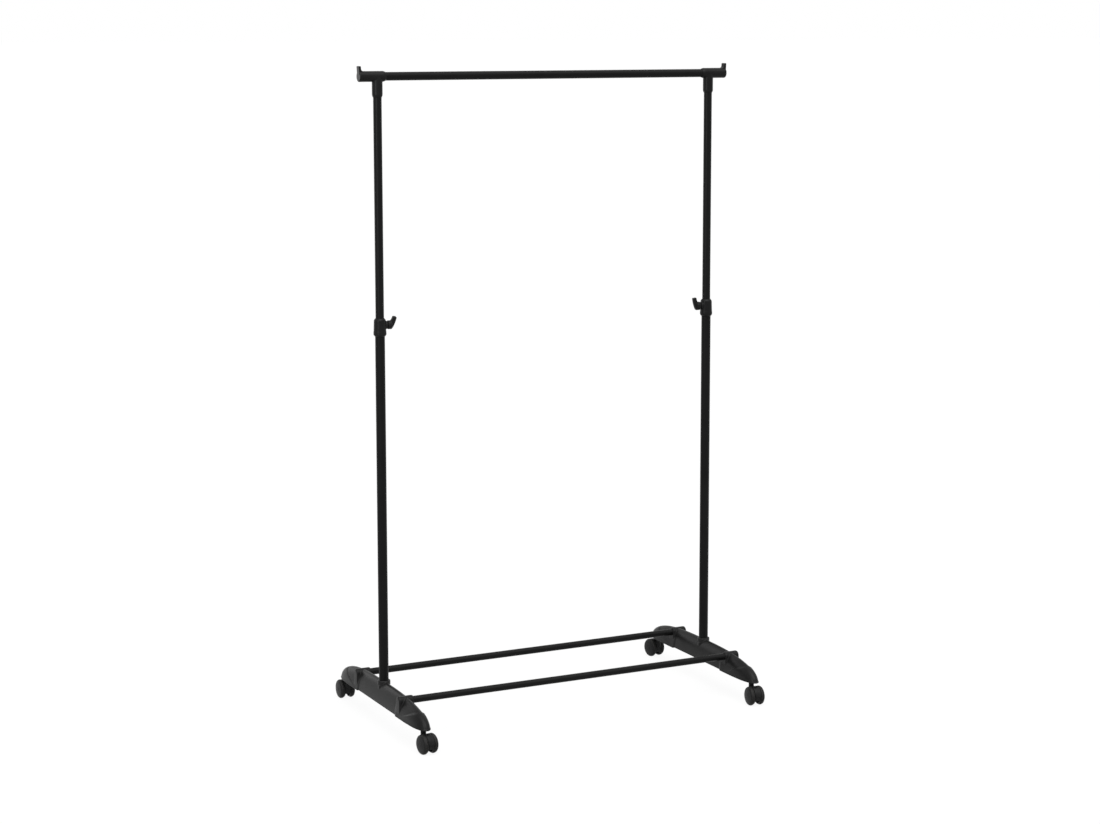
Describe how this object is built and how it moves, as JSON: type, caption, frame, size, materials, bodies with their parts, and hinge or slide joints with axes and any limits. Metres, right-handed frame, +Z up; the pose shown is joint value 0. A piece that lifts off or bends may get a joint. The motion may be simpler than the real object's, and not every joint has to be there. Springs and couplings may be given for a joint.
{
  "type": "rolling clothes rack",
  "caption": "Free-standing clothes rack on swivel casters, with a hanging rail between telescopic posts, hooked pegs at its ends, knobs that lock its height, and rails that brace its feet.",
  "frame": {"origin": "on the floor, midway between the two posts and midway between the front and back casters", "axes": "+Z up along the posts, +X to the right along the hanging rail, +Y to the back along the legs"},
  "size_m": [0.93, 0.5372, 1.4979],
  "materials": {
    "powder_coated_steel": "satin black powder coat on steel tube",
    "black_moulding": "fine-grained charcoal-black moulding",
    "caster_plastic": "smooth black moulding with a slight sheen",
    "zinc_plated_steel": "bright zinc plating",
    "white_nylon": "natural white nylon"
  },
  "bodies": {
    "base": {"leg_left": "black_moulding", "leg_right": "black_moulding", "base_rail_front": "powder_coated_steel", "base_rail_back": "powder_coated_steel", "lower_post_left": "powder_coated_steel", "lower_post_right": "powder_coated_steel", "post_plug_left": "zinc_plated_steel", "post_plug_right": "zinc_plated_steel", "post_bolts": "zinc_plated_steel", "rail_screws": "zinc_plated_steel", "clamp_collar_left": "black_moulding", "clamp_collar_right": "black_moulding", "clamp_nuts": "zinc_plated_steel", "caster_socket_front_left": "caster_plastic", "caster_socket_front_right": "caster_plastic", "caster_socket_back_left": "caster_plastic", "caster_socket_back_right": "caster_plastic"},
    "upper_frame": {"upper_post_left": "powder_coated_steel", "upper_post_right": "powder_coated_steel", "glide_bush_left": "white_nylon", "glide_bush_right": "white_nylon", "hanging_rail": "powder_coated_steel", "tee_left": "black_moulding", "tee_right": "black_moulding"},
    "knob_left": {"clamp_knob_left": "black_moulding", "clamp_screw_left": "zinc_plated_steel"},
    "knob_right": {"clamp_knob_right": "black_moulding", "clamp_screw_right": "zinc_plated_steel"},
    "caster_front_left": {"stem_front_left": "zinc_plated_steel", "grip_ring_front_left": "zinc_plated_steel", "hood_front_left": "caster_plastic", "axle_front_left": "zinc_plated_steel"},
    "outer_wheel_front_left": {"outer_wheel_front_left": "caster_plastic"},
    "inner_wheel_front_left": {"inner_wheel_front_left": "caster_plastic"},
    "caster_front_right": {"stem_front_right": "zinc_plated_steel", "grip_ring_front_right": "zinc_plated_steel", "hood_front_right": "caster_plastic", "axle_front_right": "zinc_plated_steel"},
    "outer_wheel_front_right": {"outer_wheel_front_right": "caster_plastic"},
    "inner_wheel_front_right": {"inner_wheel_front_right": "caster_plastic"},
    "caster_back_left": {"stem_back_left": "zinc_plated_steel", "grip_ring_back_left": "zinc_plated_steel", "hood_back_left": "caster_plastic", "axle_back_left": "zinc_plated_steel"},
    "outer_wheel_back_left": {"outer_wheel_back_left": "caster_plastic"},
    "inner_wheel_back_left": {"inner_wheel_back_left": "caster_plastic"},
    "caster_back_right": {"stem_back_right": "zinc_plated_steel", "grip_ring_back_right": "zinc_plated_steel", "hood_back_right": "caster_plastic", "axle_back_right": "zinc_plated_steel"},
    "outer_wheel_back_right": {"outer_wheel_back_right": "caster_plastic"},
    "inner_wheel_back_right": {"inner_wheel_back_right": "caster_plastic"}
  },
  "joints": [
    {"name": "height_slide", "type": "slide", "parent": "base", "child": "upper_frame", "axis": [0, 0, 1], "range_m": [-0.486, 0.12]},
    {"name": "knob_left_turn", "type": "hinge", "parent": "base", "child": "knob_left", "pos_m": [-0.4205, 0, 0.922], "axis": [1, 0, 0], "range_deg": [0, 540]},
    {"name": "knob_right_turn", "type": "hinge", "parent": "base", "child": "knob_right", "pos_m": [0.4205, 0, 0.922], "axis": [-1, 0, 0], "range_deg": [0, 540]},
    {"name": "swivel_front_left", "type": "hinge", "parent": "base", "child": "caster_front_left", "pos_m": [-0.4205, -0.228, 0.052], "axis": [0, 0, 1], "continuous": true},
    {"name": "outer_wheel_front_left_spin", "type": "hinge", "parent": "caster_front_left", "child": "outer_wheel_front_left", "pos_m": [-0.41843, -0.24487, 0.02225], "axis": [0.9925, 0.1219, 0], "continuous": true},
    {"name": "inner_wheel_front_left_spin", "type": "hinge", "parent": "caster_front_left", "child": "inner_wheel_front_left", "pos_m": [-0.41843, -0.24487, 0.02225], "axis": [0.9925, 0.1219, 0], "continuous": true},
    {"name": "swivel_front_right", "type": "hinge", "parent": "base", "child": "caster_front_right", "pos_m": [0.4205, -0.228, 0.052], "axis": [0, 0, 1], "continuous": true},
    {"name": "outer_wheel_front_right_spin", "type": "hinge", "parent": "caster_front_right", "child": "outer_wheel_front_right", "pos_m": [0.41931, -0.24496, 0.02225], "axis": [0.9976, -0.0698, 0], "continuous": true},
    {"name": "inner_wheel_front_right_spin", "type": "hinge", "parent": "caster_front_right", "child": "inner_wheel_front_right", "pos_m": [0.41931, -0.24496, 0.02225], "axis": [0.9976, -0.0698, 0], "continuous": true},
    {"name": "swivel_back_left", "type": "hinge", "parent": "base", "child": "caster_back_left", "pos_m": [-0.4205, 0.228, 0.052], "axis": [0, 0, 1], "continuous": true},
    {"name": "outer_wheel_back_left_spin", "type": "hinge", "parent": "caster_back_left", "child": "outer_wheel_back_left", "pos_m": [-0.4205, 0.245, 0.02225], "axis": [1, 0, 0], "continuous": true},
    {"name": "inner_wheel_back_left_spin", "type": "hinge", "parent": "caster_back_left", "child": "inner_wheel_back_left", "pos_m": [-0.4205, 0.245, 0.02225], "axis": [1, 0, 0], "continuous": true},
    {"name": "swivel_back_right", "type": "hinge", "parent": "base", "child": "caster_back_right", "pos_m": [0.4205, 0.228, 0.052], "axis": [0, 0, 1], "continuous": true},
    {"name": "outer_wheel_back_right_spin", "type": "hinge", "parent": "caster_back_right", "child": "outer_wheel_back_right", "pos_m": [0.41843, 0.24487, 0.02225], "axis": [0.9925, 0.1219, 0], "continuous": true},
    {"name": "inner_wheel_back_right_spin", "type": "hinge", "parent": "caster_back_right", "child": "inner_wheel_back_right", "pos_m": [0.41843, 0.24487, 0.02225], "axis": [0.9925, 0.1219, 0], "continuous": true}
  ]
}
